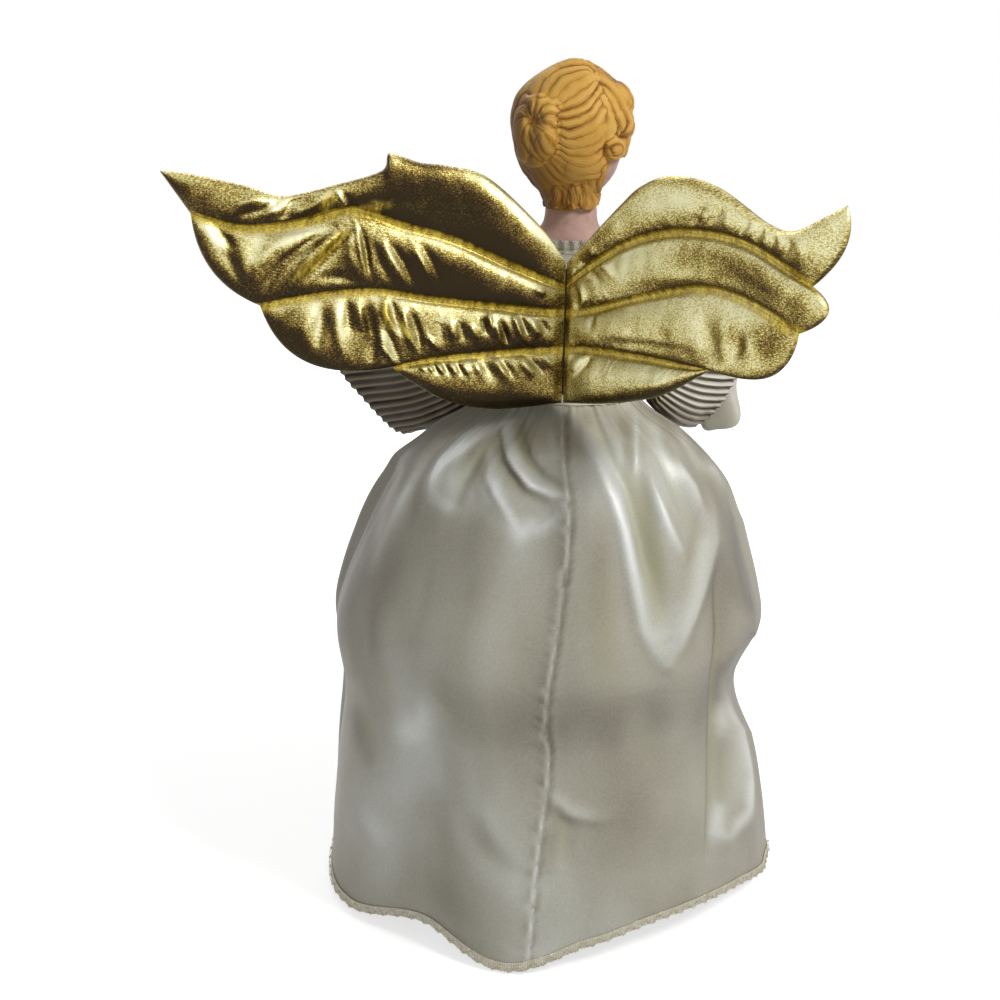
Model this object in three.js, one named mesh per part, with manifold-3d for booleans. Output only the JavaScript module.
// Angel tree topper with quilted wings, a sculpted bisque head, pleated sleeves and a satin skirt.
// Millimetres, +Z up, the face towards -Y, the quilted side of the wings towards +Y.
// The origin is the centre of the cone's open base, where the tree's leader shoot goes in.
import * as THREE from 'three';
import { mergeVertices } from 'three/addons/utils/BufferGeometryUtils.js';
import Module from 'manifold-3d';

// Clearances shared by all pieces
const seatGap = 0.3;
const boreClearance = 0.3;
const cutOverrun = 2;

// Tree cone, the moulded stand inside the skirt
const coneHeight = 203;
const coneBaseRadius = 50;
const coneTopRadius = 13;
const coneWall = 1.6;
const coneRimWidth = 3;
const coneRimThickness = 2;

// Torso, from the waist to the shoulders
const plugLength = 12;
const hipHeight = 16;
const trunkHeight = 50;
const shoulderSlopeHeight = 4;
const waistHeight = coneHeight + hipHeight;
const shoulderHeight = waistHeight + trunkHeight;
const torsoTopHeight = shoulderHeight + shoulderSlopeHeight;
const torsoHalfWidth = 32;
const torsoHalfDepth = 20.5;
const bodiceThickness = 0.9;
const bodiceTuckLength = 9;
const necklineSideRise = 16;
const necklineBackRise = 5.5;
const necklineFrontRise = 4;
const yokeClearance = 0.5;
const ruffleWidth = 4.5;
const ruffleThickness = 0.6;
const ruffleWaveDepth = 0.9;
const ruffleFlare = 1.6;
const ruffleCount = 26;

// Skirt, its stiffening petticoat and its trims
const skirtHemHeight = 0.8;
const skirtTopRise = 8.6;
const skirtTopHeight = waistHeight + skirtTopRise;
const skirtHemRadius = 97;
const skirtThickness = 0.9;
const skirtLean = 4.5;
const skirtGatherDepth = 2.4;
const skirtGatherCount = 11;
const skirtFallDepth = 2.8;
const skirtFallCount = 15;
const hemFoldDepth = 6;
const hemLift = 13;
const sleeveHollowDepth = 12;
const petticoatHemHeight = 22;
const petticoatTopDrop = 7;
const petticoatTopHeight = coneHeight - petticoatTopDrop;
const petticoatThickness = 0.8;
const petticoatClearance = 4;
const waistbandThickness = 1.2;
const hemEdgingWidth = 5;
const hemEdgingThickness = 0.7;

// Head, neck and the dowel that carries them
const neckHeight = 26;
const headHeight = 59;
const crownHeight = torsoTopHeight + neckHeight + headHeight;
const headHalfWidth = 22.6;
const headFrontDepth = 23.8;
const headBackDepth = 28.5;
const headTurn = -27 * Math.PI / 180;
const hairThickness = 1.8;
const hairReliefDepth = 0.8;
const hairLockCount = 18;
const bunCoilRadius = 3;
const bunRadius = 5.6;
const bunDrop = 21;
const bunHeight = crownHeight - bunDrop;
const dowelRadius = 4;
const dowelLength = 33;
const dowelSeatDepth = 5;
const dowelBottomHeight = torsoTopHeight - dowelSeatDepth;

// Wings, each turned back from its hinge seam
const wingSpan = 158;
const wingRootHeight = 58;
const wingRise = 3;
const wingBottomHeight = waistHeight + wingRise;
const wingStandoff = 9.5;
const wingSeamDepth = torsoHalfDepth + wingStandoff;
const wingSweeps = { left: 12 * Math.PI / 180, right: 42 * Math.PI / 180 };
const wingRootInset = 0.8;
const wingCoverThickness = 0.35;
const wingRidgeHalfThickness = 4.6;
const wingChannelHalfThickness = 1.3;
const wingTipCurlDepth = 5;
const wingFullBandWidth = 13;
const wingPadHalfWidth = 5;
const wingPadInset = 7;
const wingPadBottomHeight = wingBottomHeight + wingPadInset;
const wingPadHeight = 40;
const seamTapeHalfWidth = 1.2;
const seamTapeThickness = 2.1;
const seamTapeEndInset = 3;

// Arms, each in a frame that runs out from its shoulder
const shoulderStubLength = 4;
const shoulderPivotOffset = torsoHalfWidth + shoulderStubLength;
const shoulderPivotDepth = -2;
const shoulderPivotDrop = 4;
const shoulderPivotHeight = shoulderHeight - shoulderPivotDrop;
const armPoses = {
  left: { yaw: 46 * Math.PI / 180, drop: 10 * Math.PI / 180, liningReach: 2 },
  right: { yaw: 64 * Math.PI / 180, drop: 3 * Math.PI / 180, liningReach: 9 },
};
const armWireRadius = 1.2;
const armWireStart = 1.4;
const armWireLength = 56;
const armPaddingStart = 5;
const armPaddingLength = 44;
const armPaddingRadius = 8;
const armPaddingTaper = 3.4;
const sleeveStart = 6;
const sleeveLength = 74;
const sleeveMouthSlant = 0.15;
const sleeveTopHeight = 10.6;
const sleeveHang = 66;
const sleeveHalfWidth = 21;
const sleeveThickness = 0.8;
const pleatDepth = 1.2;
const pleatCount = 26;
const liningThickness = 0.8;
const handStart = 50;
const handLength = 46;
const wristHalfWidth = 3.9;
const palmHalfWidth = 6;
const palmHalfThickness = 2.6;
const fingerLength = 17;
const fingerRadius = 1.5;
const thumbLength = 12;

// Facet counts
const skirtSegments = 64;
const roundSegments = 40;
const bodySegments = 36;
const smallSegments = 10;

const circle = 2 * Math.PI;
const sides = ['left', 'right'];
const sideSign = { left: 1, right: -1 };

const finishes = {
  plastic: { color: 0xd9d4c4, roughness: 0.55, metalness: 0 },
  net: { color: 0xf2efe6, roughness: 0.9, metalness: 0 },
  satin: { color: 0xdcd8c6, roughness: 0.35, metalness: 0 },
  foam: { color: 0xe9e4d8, roughness: 0.95, metalness: 0 },
  wood: { color: 0xc9a877, roughness: 0.7, metalness: 0 },
  bisque: { color: 0xd6ae93, roughness: 0.6, metalness: 0 },
  lace: { color: 0xb8ad98, roughness: 0.5, metalness: 0.3 },
  lame: { color: 0xb99a45, roughness: 0.35, metalness: 0.8 },
  pleatedLame: { color: 0x8f8272, roughness: 0.4, metalness: 0.7 },
  wadding: { color: 0xf4f2ec, roughness: 1, metalness: 0 },
  felt: { color: 0xe6e1d2, roughness: 1, metalness: 0 },
  wire: { color: 0x9a9a98, roughness: 0.4, metalness: 1 },
};

const { clamp, lerp, smoothstep } = THREE.MathUtils;

const wasm = await Module();
wasm.setup();

function toManifold(geometry) {
  const bare = geometry.clone();
  bare.deleteAttribute('normal');
  bare.deleteAttribute('uv');
  const merged = mergeVertices(bare);
  return new wasm.Manifold(new wasm.Mesh({
    numProp: 3,
    vertProperties: new Float32Array(merged.attributes.position.array),
    triVerts: new Uint32Array(merged.index.array),
  }));
}

function fromManifold(solid) {
  const mesh = solid.getMesh();
  const geometry = new THREE.BufferGeometry();
  geometry.setAttribute('position', new THREE.BufferAttribute(mesh.vertProperties, 3));
  geometry.setIndex(new THREE.BufferAttribute(mesh.triVerts, 1));
  return geometry;
}

function cut(geometry, ...tools) {
  return fromManifold(tools.reduce((solid, tool) => solid.subtract(toManifold(tool)), toManifold(geometry)));
}

function join(...geometries) {
  return fromManifold(geometries.map(toManifold).reduce((solid, next) => solid.add(next)));
}

// Faces point outwards when the signed volume is positive
function facingOut(geometry) {
  const position = geometry.attributes.position;
  const index = geometry.index.array;
  const corners = [new THREE.Vector3(), new THREE.Vector3(), new THREE.Vector3()];
  let volume = 0;
  for (let face = 0; face < index.length; face += 3) {
    corners.forEach((corner, k) => corner.fromBufferAttribute(position, index[face + k]));
    volume += corners[0].dot(corners[1].cross(corners[2]));
  }
  if (volume < 0) {
    index.reverse();
  }
  return geometry;
}

function indexedGeometry(points, faces) {
  const geometry = new THREE.BufferGeometry();
  geometry.setAttribute('position', new THREE.Float32BufferAttribute(points.flatMap((p) => p.toArray()), 3));
  geometry.setIndex(faces);
  return facingOut(geometry);
}

// Two triangles per cell of a grid of points, the diagonal always the same way
function gridFaces(faces, start, rows, columns, wraps, flipped) {
  for (let row = 0; row < rows - 1; row += 1) {
    for (let k = 0; k < (wraps ? columns : columns - 1); k += 1) {
      const near = start + row * columns + k;
      const nextNear = start + row * columns + (k + 1) % columns;
      const far = near + columns;
      const nextFar = nextNear + columns;
      const corners = [near, nextNear, nextFar, near, nextFar, far];
      faces.push(...(flipped ? corners.reverse() : corners));
    }
  }
}

// The wall between two grids along a run of their edge points
function edgeFaces(faces, run, otherStart) {
  for (let k = 0; k < run.length - 1; k += 1) {
    const [from, to] = [run[k], run[k + 1]];
    faces.push(to, from, from + otherStart, to, from + otherStart, to + otherStart);
  }
}

function indexRun(count, place) {
  return Array.from({ length: count }, (_, k) => place(k));
}

// A solid through closed rings, its two ends closed by fans
function ringSolid(rings) {
  const count = rings[0].length;
  const points = rings.flat();
  const faces = [];
  gridFaces(faces, 0, rings.length, count, true, false);
  [0, rings.length - 1].forEach((row) => {
    const centre = new THREE.Vector3();
    rings[row].forEach((point) => centre.add(point));
    points.push(centre.divideScalar(count));
    for (let k = 0; k < count; k += 1) {
      const pair = [row * count + k, row * count + (k + 1) % count];
      faces.push(points.length - 1, ...(row === 0 ? pair.reverse() : pair));
    }
  });
  return indexedGeometry(points, faces);
}

// A wall between an outer and an inner set of closed rings, open at both ends
function ringShell(outer, inner) {
  const count = outer[0].length;
  const other = outer.length * count;
  const faces = [];
  gridFaces(faces, 0, outer.length, count, true, false);
  gridFaces(faces, other, inner.length, count, true, true);
  edgeFaces(faces, indexRun(count + 1, (k) => k % count), other);
  edgeFaces(faces, indexRun(count + 1, (k) => other - 1 - (k + count - 1) % count), other);
  return indexedGeometry([...outer.flat(), ...inner.flat()], faces);
}

// A sheet between a front and a back grid of points, closed round its four edges
function sheetSolid(front, back) {
  const rows = front.length;
  const columns = front[0].length;
  const other = rows * columns;
  const faces = [];
  gridFaces(faces, 0, rows, columns, false, false);
  gridFaces(faces, other, rows, columns, false, true);
  edgeFaces(faces, indexRun(columns, (k) => k), other);
  edgeFaces(faces, indexRun(rows, (k) => (k + 1) * columns - 1), other);
  edgeFaces(faces, indexRun(columns, (k) => other - 1 - k), other);
  edgeFaces(faces, indexRun(rows, (k) => (rows - 1 - k) * columns), other);
  return indexedGeometry([...front.flat(), ...back.flat()], faces);
}

// A smooth curve through [position, value] pairs
function profileCurve(pairs) {
  const slopes = pairs.map((pair, k) => {
    const before = pairs[Math.max(k - 1, 0)];
    const after = pairs[Math.min(k + 1, pairs.length - 1)];
    return (after[1] - before[1]) / (after[0] - before[0]);
  });
  return (position) => {
    let k = 0;
    while (k < pairs.length - 2 && position > pairs[k + 1][0]) {
      k += 1;
    }
    const span = pairs[k + 1][0] - pairs[k][0];
    const t = clamp((position - pairs[k][0]) / span, 0, 1);
    const rise = pairs[k + 1][1] - pairs[k][1];
    const start = slopes[k] * span;
    const end = slopes[k + 1] * span;
    return pairs[k][1] + t * start + t * t * (3 * rise - 2 * start - end) + t * t * t * (start + end - 2 * rise);
  };
}

function bump(distance, width) {
  return Math.exp(-((distance / width) ** 2));
}

function evenly(count, place) {
  return Array.from({ length: count }, (_, k) => place(k / count, k));
}

function cylinderAlong(direction, radius, length, centre, segments = smallSegments) {
  const geometry = new THREE.CylinderGeometry(radius, radius, length, segments);
  geometry.applyQuaternion(new THREE.Quaternion().setFromUnitVectors(new THREE.Vector3(0, 1, 0), direction));
  geometry.translate(centre.x, centre.y, centre.z);
  return geometry;
}

// The round outline of torso, shoulders and neck base, by height
const bodyWidthShares = [
  [-0.27, 0.62], [-0.19, 0.74], [0, 0.78], [0.28, 0.84], [0.58, 0.91], [0.84, 0.985],
  [1, 1], [1.12, 0.94], [1.24, 0.75], [1.36, 0.5], [1.46, 0.365], [1.6, 0.33],
];
const bodyDepthShares = [
  [-0.27, 0.83], [-0.19, 0.93], [0, 0.96], [0.28, 0.97], [0.58, 1], [0.84, 0.93],
  [1, 0.86], [1.12, 0.81], [1.24, 0.73], [1.36, 0.64], [1.46, 0.56], [1.6, 0.51],
];
const bodyWidthCurve = profileCurve(bodyWidthShares);
const bodyDepthCurve = profileCurve(bodyDepthShares);

function bodyPoint(angle, height, offset) {
  const share = (height - waistHeight) / (shoulderHeight - waistHeight);
  const halfWidth = torsoHalfWidth * bodyWidthCurve(share) + offset;
  const halfDepth = torsoHalfDepth * bodyDepthCurve(share) + offset;
  return new THREE.Vector3(halfWidth * Math.cos(angle), halfDepth * Math.sin(angle), height);
}

function bodyRing(height, offset) {
  return evenly(bodySegments, (turn) => bodyPoint(turn * circle, height, offset));
}

function coneRadiusAt(height) {
  return lerp(coneBaseRadius, coneTopRadius, height / coneHeight);
}

function treeCone() {
  const profile = [
    [coneBaseRadius - coneWall, 0],
    [coneBaseRadius + coneRimWidth, 0],
    [coneBaseRadius + coneRimWidth, coneRimThickness],
    [coneRadiusAt(coneRimThickness), coneRimThickness],
    [coneTopRadius, coneHeight],
    [coneTopRadius - coneWall, coneHeight],
    [coneBaseRadius - coneWall, 0],
  ];
  const geometry = new THREE.LatheGeometry(profile.map(([r, h]) => new THREE.Vector2(r, h)), roundSegments);
  geometry.rotateX(Math.PI / 2);
  return facingOut(fromManifold(toManifold(geometry)));
}

// Skirt outline, as shares of its height and of its hem radius
const skirtProfileShares = [
  [0, 1], [0.11, 0.985], [0.22, 0.96], [0.39, 0.92], [0.534, 0.965], [0.68, 0.872], [0.78, 0.79],
  [0.845, 0.715], [0.885, 0.64], [0.92, 0.54], [0.966, 0.4], [1, 0.3],
];
const skirtLeanShares = [[0, 0.2], [0.3, 1], [0.6, 1], [0.85, 0.3], [1, 0]];
const skirtGatherShares = [[0, 0.25], [0.4, 0.35], [0.75, 1], [0.92, 0.7], [1, 0.2]];
// Long soft folds fall down the front and the sides of the skirt
const skirtFallShares = [[0, 0.7], [0.3, 1], [0.6, 1], [0.78, 0.7], [0.88, 0.2], [1, 0]];
// Folds of the hem by turn: a positive one flares out and hangs lower, a negative one is drawn in and lifted
const hemFoldShares = [
  [0, 0.2], [0.095, 0.8], [0.165, -0.4], [0.228, 1], [0.285, -0.3], [0.36, -1], [0.43, -0.6], [0.51, 0.6],
  [0.59, -0.5], [0.67, 0.6], [0.75, -0.4], [0.83, 0.5], [0.91, -0.5], [1, 0.2],
];
const hemFoldFadeShares = [[0, 1], [0.25, 0.5], [0.55, 0.12], [0.8, 0], [1, 0]];
const skirtRadiusCurve = profileCurve(skirtProfileShares);
const skirtLeanCurve = profileCurve(skirtLeanShares);
const skirtGatherCurve = profileCurve(skirtGatherShares);
const skirtFallCurve = profileCurve(skirtFallShares);
const hemFoldCurve = profileCurve(hemFoldShares);
const hemFoldFadeCurve = profileCurve(hemFoldFadeShares);
const skirtHollowShare = 0.9;
const skirtHollowHeightSpread = 0.09;
const skirtHollowAngle = 24 * Math.PI / 180;
const skirtHollowAngleSpread = 27 * Math.PI / 180;
const waistBlendStartShare = 0.9;
const gatherDriftShare = 1.4;
const fallDriftShares = [1.3, 0.8, 1.2];
const fallBackStartShare = -0.12;
const fallBackEndShare = 0.22;

function skirtPoint(angle, share, offset) {
  const waistOffset = bodiceThickness + 2 * seatGap + skirtThickness;
  const waist = bodyPoint(angle, skirtTopHeight, waistOffset);
  const blend = smoothstep(share, waistBlendStartShare, 1);
  const gather = Math.cos(skirtGatherCount * angle + gatherDriftShare * Math.sin(2 * angle + 3 * share))
    * (1 + Math.cos(3 * angle + 1)) / 2 - 1 / 2;
  const hemFold = hemFoldCurve(angle / circle);
  const fallTurn = skirtFallCount * angle + fallDriftShares[0] * Math.sin(2 * angle + 1)
    + fallDriftShares[1] * Math.sin(5 * angle) + fallDriftShares[2] * share;
  const fallAhead = 1 - smoothstep(Math.sin(angle), fallBackStartShare, fallBackEndShare);
  const fall = fallAhead * skirtFallCurve(share) * Math.cos(fallTurn) * (1 + Math.cos(4 * angle + 1 / 2) / 2) / 1.5;
  const hollows = bump(share - skirtHollowShare, skirtHollowHeightSpread) * sides.reduce((sum, side) => {
    const centre = side === 'left' ? -skirtHollowAngle : Math.PI + skirtHollowAngle;
    const away = Math.atan2(Math.sin(angle - centre), Math.cos(angle - centre));
    return sum + bump(away, skirtHollowAngleSpread);
  }, 0);
  const round = skirtHemRadius * skirtRadiusCurve(share);
  const radius = lerp(round, Math.hypot(waist.x, waist.y), blend)
    + skirtGatherDepth * skirtGatherCurve(share) * gather * (1 - blend)
    + hemFoldDepth * hemFoldFadeCurve(share) * hemFold
    + skirtFallDepth * fall
    - sleeveHollowDepth * hollows * (1 - blend) + offset;
  const lift = hemLift * (1 - hemFold) / 2 * (1 - share) ** 3;
  const height = lerp(skirtHemHeight, skirtTopHeight, share) + lift;
  const waistTurn = Math.atan2(waist.y, waist.x);
  const turn = angle + blend * Math.atan2(Math.sin(waistTurn - angle), Math.cos(waistTurn - angle));
  const lean = skirtLean * skirtLeanCurve(share);
  return new THREE.Vector3(lean + radius * Math.cos(turn), radius * Math.sin(turn), height);
}

function skirtRing(share, offset) {
  return evenly(skirtSegments, (turn) => skirtPoint(turn * circle, share, offset));
}

function skirt() {
  const shares = skirtProfileShares.map(([share]) => share);
  return ringShell(
    shares.map((share) => skirtRing(share, 0)),
    shares.map((share) => skirtRing(share, -skirtThickness)),
  );
}

function waistband() {
  const shares = skirtProfileShares.slice(-2).map(([share]) => share);
  return ringShell(
    shares.map((share) => skirtRing(share, seatGap + waistbandThickness)),
    shares.map((share) => skirtRing(share, seatGap)),
  );
}

function skirtHemEdging() {
  const topShare = hemEdgingWidth / (skirtTopHeight - skirtHemHeight);
  return ringShell(
    [0, topShare].map((share) => skirtRing(share, seatGap + hemEdgingThickness)),
    [0, topShare].map((share) => skirtRing(share, seatGap)),
  );
}

// The petticoat keeps inside the skirt and is gathered onto the top of the cone
const petticoatBodyShares = [0, 0.3, 0.6, 0.8, 0.92];
const petticoatGatherShares = [[0.97, 0.5], [1, 0]];
const petticoatSegments = 28;

function petticoat() {
  const span = petticoatTopHeight - petticoatHemHeight;
  const topRadius = coneRadiusAt(petticoatTopHeight) + seatGap;
  const radiusAt = (share) => {
    const height = petticoatHemHeight + span * share;
    const skirtShare = (height - skirtHemHeight) / (skirtTopHeight - skirtHemHeight);
    return skirtHemRadius * skirtRadiusCurve(skirtShare) - hemFoldDepth * hemFoldFadeCurve(skirtShare)
      - skirtGatherDepth - skirtFallDepth - skirtLean - petticoatClearance
      - sleeveHollowDepth * bump(skirtShare - skirtHollowShare, skirtHollowHeightSpread);
  };
  const lastRadius = radiusAt(petticoatBodyShares.at(-1));
  const profile = [
    ...petticoatBodyShares.map((share) => [share, radiusAt(share)]),
    ...petticoatGatherShares.map(([share, part]) => [share, lerp(topRadius, lastRadius, part)]),
  ];
  const rings = (offset) => profile.map(([share, radius]) => evenly(petticoatSegments, (turn) => {
    const reach = (radius + offset) * (share === 1 ? 1 / Math.cos(Math.PI / petticoatSegments) : 1);
    const height = petticoatHemHeight + span * share;
    return new THREE.Vector3(reach * Math.cos(turn * circle), reach * Math.sin(turn * circle), height);
  }));
  return ringShell(rings(petticoatThickness), rings(0));
}

// Torso: a plug for the cone's top, a waist, a chest and flat shoulders. The bodice shares its levels.
const torsoLevelShares = [0, 0.14, 0.3, 0.49, 0.68, 0.84, 0.935, 1];
const torsoLevels = torsoLevelShares.map((share) => lerp(waistHeight - bodiceTuckLength, torsoTopHeight, share));

function torsoCore() {
  const plugRadius = coneTopRadius - coneWall - boreClearance;
  const seatHeight = coneHeight + seatGap;
  const plugRing = (height) => evenly(bodySegments, (turn) => (
    new THREE.Vector3(plugRadius * Math.cos(turn * circle), plugRadius * Math.sin(turn * circle), height)
  ));
  const rings = [
    plugRing(coneHeight - plugLength),
    plugRing(seatHeight),
    bodyRing(seatHeight, 0),
    ...torsoLevels.map((height) => bodyRing(height, 0)),
  ];
  const up = new THREE.Vector3(0, 0, 1);
  const across = new THREE.Vector3(1, 0, 0);
  const dowelBore = cylinderAlong(
    up,
    dowelRadius + boreClearance,
    dowelLength,
    new THREE.Vector3(0, 0, dowelBottomHeight - seatGap + dowelLength / 2),
    roundSegments / 2,
  );
  const wireBore = cylinderAlong(
    across,
    armWireRadius + boreClearance,
    2 * (torsoHalfWidth + cutOverrun),
    new THREE.Vector3(0, shoulderPivotDepth, shoulderPivotHeight),
  );
  return cut(ringSolid(rings), dowelBore, wireBore);
}

function shoulderWire() {
  return cylinderAlong(
    new THREE.Vector3(1, 0, 0),
    armWireRadius,
    2 * (shoulderPivotOffset - seatGap),
    new THREE.Vector3(0, shoulderPivotDepth, shoulderPivotHeight),
  );
}

function neckDowel() {
  const centre = new THREE.Vector3(0, 0, dowelBottomHeight + dowelLength / 2);
  return cylinderAlong(new THREE.Vector3(0, 0, 1), dowelRadius, dowelLength, centre, roundSegments / 2);
}

// The neckline is high at the sides of the neck and dips at the front and in a V at the back
function necklineHeight(angle) {
  const back = Math.max(Math.sin(angle), 0);
  const front = Math.max(-Math.sin(angle), 0);
  return torsoTopHeight + necklineSideRise
    - (necklineSideRise - necklineBackRise) * back ** 1.2
    - (necklineSideRise - necklineFrontRise) * front ** 1.5;
}

const yokeShares = [0.35, 0.7, 1];

function yokePoint(angle, share, offset) {
  const height = lerp(torsoTopHeight, necklineHeight(angle), share);
  const easeShare = Math.min(2 * share, 1);
  return bodyPoint(angle, height, seatGap + yokeClearance * easeShare + offset);
}

function bodice() {
  const rings = (offset) => [
    ...torsoLevels.map((height) => bodyRing(height, seatGap + offset)),
    ...yokeShares.map((share) => evenly(bodySegments, (turn) => yokePoint(turn * circle, share, offset))),
  ];
  const wireHole = cylinderAlong(
    new THREE.Vector3(1, 0, 0),
    armWireRadius + 2 * boreClearance,
    2 * (torsoHalfWidth + bodiceThickness + cutOverrun),
    new THREE.Vector3(0, shoulderPivotDepth, shoulderPivotHeight),
  );
  return cut(ringShell(rings(bodiceThickness), rings(0)), wireHole);
}

function necklineRuffle() {
  const pointsPerWave = 2;
  const ring = (share, offset) => evenly(ruffleCount * pointsPerWave, (turn, k) => {
    const angle = turn * circle;
    const wave = (k % pointsPerWave === 0 ? 1 : 0) * ruffleWaveDepth * share;
    const base = yokePoint(angle, 1, bodiceThickness - ruffleThickness + offset + wave + ruffleFlare * share);
    base.z += seatGap + ruffleWidth * share;
    return base;
  });
  const shares = [0, 1];
  return ringShell(shares.map((share) => ring(share, ruffleThickness)), shares.map((share) => ring(share, 0)));
}

// Head sections: height share, then shares of half width, front depth and back depth
const headWidthShares = [
  [0, 0.465], [0.07, 0.478], [0.12, 0.53], [0.17, 0.65], [0.25, 0.79], [0.37, 0.895], [0.49, 0.965],
  [0.61, 1], [0.73, 0.955], [0.83, 0.83], [0.915, 0.64], [0.975, 0.36], [1, 0],
];
const headFrontShares = [
  [0, 0.441], [0.07, 0.5], [0.12, 0.74], [0.17, 0.86], [0.25, 0.92], [0.37, 0.945], [0.49, 0.975],
  [0.61, 1], [0.73, 0.965], [0.83, 0.86], [0.915, 0.67], [0.975, 0.38], [1, 0],
];
const headBackShares = [
  [0, 0.368], [0.07, 0.44], [0.12, 0.51], [0.17, 0.58], [0.25, 0.7], [0.37, 0.86], [0.49, 0.965],
  [0.61, 1], [0.73, 0.93], [0.83, 0.79], [0.915, 0.6], [0.975, 0.32], [1, 0],
];
const headRingShares = [
  0, 0.07, 0.12, 0.16, 0.2, 0.24, 0.28, 0.32, 0.36, 0.4, 0.44, 0.48, 0.52, 0.56, 0.61, 0.66, 0.71, 0.76,
  0.81, 0.86, 0.91, 0.95, 0.985, 0.998,
];
const plateHeightShares = [0, 0.12, 0.24, 0.36, 0.48, 0.62, 0.8];
const headWidthCurve = profileCurve(headWidthShares);
const headFrontCurve = profileCurve(headFrontShares);
const headBackCurve = profileCurve(headBackShares);

// Face relief, on plain drawing-book proportions, as shares of the head's height and half width
const faceFeatureShares = [
  { across: 0, up: 0.385, wide: 0.1, tall: 0.06, lift: 0.16 },
  { across: 0, up: 0.46, wide: 0.07, tall: 0.08, lift: 0.07 },
  { across: 0.33, up: 0.525, wide: 0.15, tall: 0.05, lift: -0.07 },
  { across: 0, up: 0.28, wide: 0.17, tall: 0.025, lift: 0.05 },
  { across: 0, up: 0.15, wide: 0.16, tall: 0.035, lift: 0.05 },
  { across: 0.5, up: 0.37, wide: 0.22, tall: 0.1, lift: 0.03 },
];
const faceHalfWidthShare = 0.72;
const faceCentreShare = 0.36;
const faceHalfHeightShare = 0.34;
const napeShare = 0.05;

function headPoint(turn, share) {
  const angle = turn * circle;
  const ahead = Math.sin(angle) < 0;
  const depth = ahead ? headFrontDepth * headFrontCurve(share) : headBackDepth * headBackCurve(share);
  const x = headHalfWidth * headWidthCurve(share) * Math.cos(angle);
  const y = depth * Math.sin(angle);
  const height = crownHeight - headHeight * (1 - share);
  const across = x / headHalfWidth;
  const oval = (across / faceHalfWidthShare) ** 2 + ((share - faceCentreShare) / faceHalfHeightShare) ** 2;
  const face = ahead ? 1 - smoothstep(oval, 0.75, 1.15) : 0;
  const hair = (1 - face) * smoothstep(share, napeShare, 3 * napeShare);
  const features = face * headHalfWidth * faceFeatureShares.reduce((sum, f) => (
    sum + f.lift * bump(Math.abs(across) - f.across, f.wide) * bump(share - f.up, f.tall)
  ), 0);
  // Locks of hair sweep round the bun at the back
  const fromBun = new THREE.Vector2(
    headBackDepth * Math.atan2(x, y),
    height - bunHeight,
  );
  const locks = Math.cos(hairLockCount / 2 * fromBun.angle() + fromBun.length() / bunRadius);
  const crownFade = 1 - smoothstep(share, 0.9, 1);
  const relief = hair * hairReliefDepth * locks * smoothstep(fromBun.length(), bunRadius, 2 * bunRadius);
  const lift = features - face * hairThickness + relief * crownFade;
  const reach = Math.hypot(x, y);
  const turned = Math.atan2(y, x) + headTurn * smoothstep(share, 0, 2 * napeShare);
  return new THREE.Vector3((reach + lift) * Math.cos(turned), (reach + lift) * Math.sin(turned), height);
}

// The bun is one twisted coil, wound in a spiral against the back of the head. Its turns press into
// each other, so the coil is made in short stretches that are joined afterwards.
function bunCoil() {
  const turns = 1.6;
  const stretches = 8;
  const steps = 3;
  const centreReach = headBackDepth * headBackCurve(1 - bunDrop / headHeight);
  const centreAt = (t) => {
    const spin = t * turns * circle;
    const reach = bunRadius * (1 - 0.85 * t);
    const out = centreReach - bunCoilRadius / 2 + bunCoilRadius * t;
    return new THREE.Vector3(reach * Math.cos(spin), out, bunHeight + reach * Math.sin(spin) * 1.15);
  };
  const section = new THREE.Shape(evenly(8, (turn) => (
    new THREE.Vector2(bunCoilRadius * Math.cos(turn * circle), bunCoilRadius * Math.sin(turn * circle))
  )));
  return evenly(stretches, (start) => {
    const path = evenly(steps + 1, (turn, k) => centreAt(start + k / steps / stretches));
    const geometry = new THREE.ExtrudeGeometry(section, {
      steps, extrudePath: new THREE.CatmullRomCurve3(path), bevelEnabled: false,
    });
    geometry.rotateZ(headTurn);
    return geometry;
  });
}

function bisqueHead() {
  const neckTop = crownHeight - headHeight;
  const plateBottom = torsoTopHeight + seatGap;
  const rings = [
    ...plateHeightShares.map((share) => bodyRing(lerp(plateBottom, neckTop, share), 0)),
    ...headRingShares.map((share) => evenly(bodySegments, (turn) => headPoint(turn, share))),
  ];
  const bore = cylinderAlong(
    new THREE.Vector3(0, 0, 1),
    dowelRadius + boreClearance,
    dowelLength,
    new THREE.Vector3(0, 0, dowelBottomHeight + seatGap + dowelLength / 2),
    roundSegments / 2,
  );
  return cut(join(ringSolid(rings), ...bunCoil()), bore);
}

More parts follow.
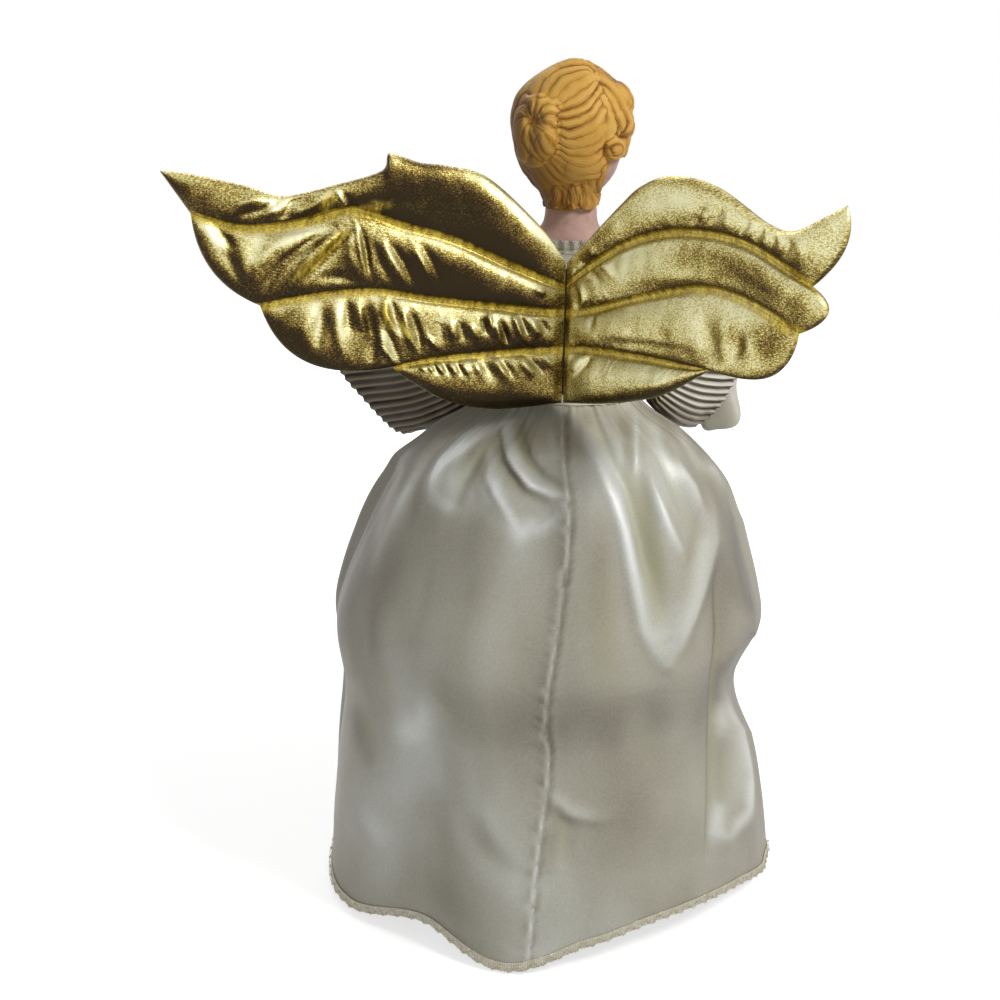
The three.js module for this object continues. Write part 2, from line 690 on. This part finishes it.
// Wing guide lines from the root to the outer edge, as shares of the span and of the root height:
// the lower edge, three stitched channels and the upper edge. Lobes swell the feather ends between them.
const wingShares = {
  left: {
    guides: [
      [[0, 0], [0.165, -0.04], [0.294, 0.021], [0.393, 0.172], [0.435, 0.26]],
      [[0, 0.379], [0.164, 0.362], [0.345, 0.33], [0.442, 0.285]],
      [[0, 0.638], [0.166, 0.679], [0.346, 0.735], [0.471, 0.791], [0.6, 0.78], [0.769, 0.705]],
      [[0, 0.81], [0.169, 0.999], [0.297, 1.148], [0.422, 1.241], [0.538, 1.339], [0.668, 1.257],
        [0.806, 1.222], [0.93, 1.315]],
      [[0, 1], [0.07, 1.25], [0.203, 1.57], [0.304, 1.66], [0.442, 1.601], [0.574, 1.518],
        [0.708, 1.435], [0.797, 1.499], [0.94, 1.58], [1, 1.592]],
    ],
    lobes: [[0, 0], [0.05, -0.18], [0.034, -0.07], [0, 0]],
  },
  right: {
    guides: [
      [[0, 0], [0.135, 0.06], [0.264, 0.148], [0.36, 0.241], [0.506, 0.47]],
      [[0, 0.379], [0.093, 0.42], [0.264, 0.45], [0.397, 0.468], [0.522, 0.495]],
      [[0, 0.638], [0.088, 0.686], [0.257, 0.833], [0.448, 0.972], [0.588, 0.961], [0.762, 0.82]],
      [[0, 0.828], [0.116, 1.041], [0.249, 1.224], [0.407, 1.326], [0.593, 1.309], [0.788, 1.117]],
      [[0, 1], [0.094, 1.22], [0.188, 1.455], [0.256, 1.6], [0.345, 1.675], [0.477, 1.647],
        [0.637, 1.46], [0.72, 1.435], [0.801, 1.537], [0.868, 1.633]],
    ],
    lobes: [[0, 0], [0.047, -0.14], [0.06, 0.005], [0.04, 0]],
  },
};
const wingColumnShares = [0, 0.05, 0.13, 0.24, 0.36, 0.48, 0.6, 0.72, 0.84, 0.94, 1];
const wingRowsPerBand = 3;
const wingBandCount = 4;
const wingRootSlopeShare = 0.38;
const rimHalf = wingCoverThickness + seatGap / 2;
const waddingEdgeShare = 0.5;
const waddingThinningShare = 0.36;

// Middle surface and half thickness of a wing at every crossing of its columns and rows
function wingNet(side) {
  const shares = wingShares[side];
  const curves = shares.guides.map((guide) => (
    new THREE.SplineCurve(guide.map(([across, up]) => new THREE.Vector2(across * wingSpan, up * wingRootHeight)))
  ));
  const rows = wingBandCount * wingRowsPerBand;
  return wingColumnShares.map((share, column) => (
    Array.from({ length: rows + 1 }, (_, row) => {
      const band = Math.min(Math.floor(row / wingRowsPerBand), wingBandCount - 1);
      const part = row / wingRowsPerBand - band;
      const low = curves[band].getPointAt(share);
      const high = curves[band + 1].getPointAt(share);
      const lobe = new THREE.Vector2(shares.lobes[band][0] * wingSpan, shares.lobes[band][1] * wingRootHeight);
      const place = low.clone().lerp(high, part).addScaledVector(lobe, 4 * part * (1 - part) * share ** 4);
      const fullness = Math.min(low.distanceTo(high) / wingFullBandWidth, 1);
      const ends = Math.sqrt(smoothstep(share, 0, 0.16) * (1 - smoothstep(share, 0.84, 1)));
      const onEdge = row === 0 || row === rows || column === 0 || share === 1;
      const crown = (wingRidgeHalfThickness - wingChannelHalfThickness) * Math.abs(Math.sin(Math.PI * part)) ** 0.8;
      // Near the seam the padding thins, so that the two wings can fold back against each other
      const rootLimit = rimHalf + wingRootSlopeShare * place.x;
      const half = onEdge ? rimHalf : Math.min(wingChannelHalfThickness + crown * fullness * ends, rootLimit);
      const curl = wingTipCurlDepth * share ** 2;
      return { along: wingRootInset + place.x, up: place.y, out: curl, half };
    })
  ));
}

function wingPoint(side, node, offset) {
  const sweep = wingSweeps[side];
  const out = node.out + offset;
  return new THREE.Vector3(
    sideSign[side] * (node.along * Math.cos(sweep) - out * Math.sin(sweep)),
    wingSeamDepth + node.along * Math.sin(sweep) + out * Math.cos(sweep),
    wingBottomHeight + node.up,
  );
}

function wingCover(side, face) {
  const net = wingNet(side);
  const layer = (inset) => net.map((column) => (
    column.map((node) => wingPoint(side, node, face * (node.half - inset)))
  ));
  return sheetSolid(layer(0), layer(wingCoverThickness));
}

// The wadding stops short of the edges and keeps clear of both covers
function wingWadding(side) {
  const net = wingNet(side);
  const between = (from, to, part) => ({
    along: lerp(from.along, to.along, part),
    up: lerp(from.up, to.up, part),
    out: lerp(from.out, to.out, part),
    half: lerp(from.half, to.half, waddingThinningShare),
  });
  const insetEnds = (list, pull) => {
    const result = list.slice();
    result[0] = pull(list[0], list[1]);
    result[list.length - 1] = pull(list.at(-1), list.at(-2));
    return result;
  };
  const rows = net.map((column) => insetEnds(column, (edge, next) => between(edge, next, waddingEdgeShare)));
  const inset = insetEnds(rows, (edge, next) => (
    edge.map((node, k) => between(node, next[k], waddingEdgeShare))
  ));
  const reach = (node) => node.half - wingCoverThickness - seatGap;
  return sheetSolid(
    inset.map((column) => column.map((node) => wingPoint(side, node, reach(node)))),
    inset.map((column) => column.map((node) => wingPoint(side, node, -reach(node)))),
  );
}

// The wings hang on a felt pad on the bodice's back and on the tape of their centre seam
const tapeBack = wingSeamDepth - rimHalf - seatGap;
const tapeFront = tapeBack - seamTapeThickness;

function wingMountPad() {
  const middle = wingPadBottomHeight + wingPadHeight / 2;
  const bodiceBack = torsoHalfDepth + seatGap + bodiceThickness;
  const front = bodiceBack + seatGap;
  const depth = tapeFront - seatGap - front;
  const geometry = new THREE.BoxGeometry(2 * wingPadHalfWidth, depth, wingPadHeight);
  geometry.translate(0, front + depth / 2, middle);
  return geometry;
}

function wingSeamTape() {
  const height = wingRootHeight - 2 * seamTapeEndInset;
  const geometry = new THREE.BoxGeometry(2 * seamTapeHalfWidth, seamTapeThickness, height);
  geometry.translate(0, tapeFront + seamTapeThickness / 2, wingBottomHeight + wingRootHeight / 2);
  return geometry;
}

// Place a point of an arm by its distance along the arm, its offset inwards and its height above the arm
function armPoint(side, along, inwards, above) {
  const { yaw, drop } = armPoses[side];
  const sign = sideSign[side];
  const level = new THREE.Vector3(sign * Math.cos(yaw), -Math.sin(yaw), 0);
  const outwards = level.clone().multiplyScalar(Math.cos(drop)).setZ(-Math.sin(drop));
  const upwards = level.clone().multiplyScalar(Math.sin(drop)).setZ(Math.cos(drop));
  const across = new THREE.Vector3(-sign * Math.sin(yaw), -Math.cos(yaw), 0);
  return new THREE.Vector3(sign * shoulderPivotOffset, shoulderPivotDepth, shoulderPivotHeight)
    .addScaledVector(outwards, along)
    .addScaledVector(across, inwards)
    .addScaledVector(upwards, above);
}

function armRing(side, along, radius, segments = smallSegments) {
  return evenly(segments, (turn) => (
    armPoint(side, along, radius * Math.sin(turn * circle), radius * Math.cos(turn * circle))
  ));
}

function armWire(side) {
  const end = armWireStart + armWireLength;
  return ringSolid([armWireStart, end].map((along) => armRing(side, along, armWireRadius)));
}

function armPadding(side) {
  const shares = [0, 0.35, 0.7, 1];
  const places = shares.map((share) => armPaddingStart + armPaddingLength * share);
  const bore = armWireRadius + boreClearance;
  return ringShell(
    places.map((along, k) => armRing(side, along, armPaddingRadius - armPaddingTaper * shares[k] ** 1.5)),
    places.map((along) => armRing(side, along, bore)),
  );
}

// Sleeve sections: share of the length, then shares of half width, of top height and of hang
const sleeveWidthCurve = profileCurve([[0, 0.5], [0.2, 0.62], [0.47, 0.79], [0.73, 0.92], [1, 1]]);
const sleeveTopCurve = profileCurve([[0, 1], [0.3, 0.98], [0.6, 0.9], [1, 0.85]]);
const sleeveHangCurve = profileCurve([[0, 0.6], [0.2, 0.75], [0.47, 0.885], [0.73, 0.955], [1, 1]]);
const sleeveRingShares = [0, 0.2, 0.47, 0.73, 1];

// Angles that give steps of equal length round the sleeve's long mouth
function evenSleeveAngles(count) {
  const samples = 360;
  const lengths = [0];
  const outline = (k) => {
    const angle = k / samples * circle;
    const hang = Math.cos(angle) > 0 ? sleeveTopHeight : sleeveHang;
    return new THREE.Vector2(sleeveHalfWidth * Math.sin(angle), hang * Math.cos(angle));
  };
  for (let k = 1; k <= samples; k += 1) {
    lengths.push(lengths[k - 1] + outline(k).distanceTo(outline(k - 1)));
  }
  return evenly(count, (part) => {
    const wanted = part * lengths[samples];
    const k = Math.max(lengths.findIndex((length) => length > wanted) - 1, 0);
    return (k + (wanted - lengths[k]) / (lengths[k + 1] - lengths[k])) / samples * circle;
  });
}

function sleeveRing(side, share, angles, offsetOf, reach) {
  const width = sleeveHalfWidth * sleeveWidthCurve(share);
  const top = sleeveTopHeight * sleeveTopCurve(share);
  const hang = sleeveHang * sleeveHangCurve(share);
  return angles.map((angle, k) => {
    const tall = Math.cos(angle) > 0 ? top : hang;
    const normal = new THREE.Vector2(tall * Math.sin(angle), width * Math.cos(angle)).normalize();
    const offset = offsetOf(k);
    const inwards = width * Math.sin(angle) + normal.x * offset;
    const above = tall * Math.cos(angle) + normal.y * offset;
    const along = sleeveStart + (sleeveLength + reach + sleeveMouthSlant * above) * share;
    return armPoint(side, along, inwards, above);
  });
}

function pleatedSleeve(side) {
  const angles = evenSleeveAngles(2 * pleatCount);
  const pleat = (k) => (k % 2 === 0 ? pleatDepth / 2 : -pleatDepth / 2);
  const rings = (offset) => sleeveRingShares.map((share) => (
    sleeveRing(side, share, angles, (k) => pleat(k) + offset, 0)
  ));
  return ringShell(rings(sleeveThickness / 2), rings(-sleeveThickness / 2));
}

function undersleeve(side) {
  const angles = evenSleeveAngles(18);
  const outer = -(sleeveThickness + pleatDepth) / 2 - seatGap;
  const rings = (offset) => sleeveRingShares.map((share) => (
    sleeveRing(side, share, angles, () => offset, armPoses[side].liningReach)
  ));
  return ringShell(rings(outer), rings(outer - liningThickness));
}

// Hand: a loft from the forearm over the palm, with four fingers and a thumb
const handSectionShares = [
  [0, 1.05, 1.45], [0.16, 1, 1.35], [0.27, 0.95, 1.2], [0.38, 1.15, 0.98], [0.5, 1.45, 0.95],
  [0.6, 1.5, 0.86], [0.66, 1.38, 0.7],
];
const fingerSpreadShares = [-0.72, -0.25, 0.22, 0.68];
const fingerLengthShares = [0.82, 1, 0.95, 0.72];

function taperedRod(side, start, direction, length, radius) {
  const shares = [[0, 1], [0.55, 0.92], [0.88, 0.72], [1, 0.3]];
  const heading = direction.clone().normalize();
  const across = new THREE.Vector3(0, 1, 0).cross(heading).normalize();
  const over = heading.clone().cross(across);
  return ringSolid(shares.map(([share, width]) => evenly(5, (turn) => {
    const point = start.clone()
      .addScaledVector(heading, length * share)
      .addScaledVector(across, radius * width * Math.cos(turn * circle))
      .addScaledVector(over, radius * width * Math.sin(turn * circle));
    return armPoint(side, point.x, point.y, point.z);
  })));
}

function hand(side) {
  const palm = handSectionShares.map(([share, wide, thick]) => evenly(12, (turn) => armPoint(
    side,
    handStart + handLength * share,
    wristHalfWidth * wide * Math.sin(turn * circle),
    palmHalfThickness * thick * Math.cos(turn * circle),
  )));
  const knuckles = handStart + handLength * handSectionShares.at(-1)[0] - fingerRadius;
  const fingers = fingerSpreadShares.map((spread, k) => taperedRod(
    side,
    new THREE.Vector3(knuckles, palmHalfWidth * spread, 0),
    new THREE.Vector3(1, spread / 5, fingerLengthShares[k] / 5),
    fingerLength * fingerLengthShares[k],
    fingerRadius,
  ));
  const thumb = taperedRod(
    side,
    new THREE.Vector3(handStart + handLength / 2 - fingerRadius, palmHalfWidth / 2, palmHalfThickness / 3),
    new THREE.Vector3(1, 1, 1 / 2),
    thumbLength,
    fingerRadius,
  );
  const wireBore = [handStart - cutOverrun, armWireStart + armWireLength + seatGap];
  const bore = ringSolid(wireBore.map((along) => armRing(side, along, armWireRadius + boreClearance)));
  return cut(join(ringSolid(palm), ...fingers, thumb), bore);
}

const group = new THREE.Group();

function add(name, geometry, finish) {
  const mesh = new THREE.Mesh(geometry, new THREE.MeshStandardMaterial(finishes[finish]));
  mesh.name = name;
  group.add(mesh);
}

add('tree_cone', treeCone(), 'plastic');
add('petticoat', petticoat(), 'net');
add('skirt', skirt(), 'satin');
add('skirt_hem_edging', skirtHemEdging(), 'lace');
add('waistband', waistband(), 'satin');
add('torso_core', torsoCore(), 'foam');
add('shoulder_wire', shoulderWire(), 'wire');
add('neck_dowel', neckDowel(), 'wood');
add('bisque_head', bisqueHead(), 'bisque');
add('bodice', bodice(), 'satin');
add('neckline_ruffle', necklineRuffle(), 'lace');
add('wing_mount_pad', wingMountPad(), 'felt');
add('wing_seam_tape', wingSeamTape(), 'felt');
sides.forEach((side) => {
  add(`wing_${side}_back_cover`, wingCover(side, 1), 'lame');
  add(`wing_${side}_front_cover`, wingCover(side, -1), 'lame');
  add(`wing_${side}_wadding`, wingWadding(side), 'wadding');
  add(`arm_wire_${side}`, armWire(side), 'wire');
  add(`arm_padding_${side}`, armPadding(side), 'wadding');
  add(`undersleeve_${side}`, undersleeve(side), 'satin');
  add(`pleated_sleeve_${side}`, pleatedSleeve(side), 'pleatedLame');
  add(`hand_${side}`, hand(side), 'bisque');
});

export default group;
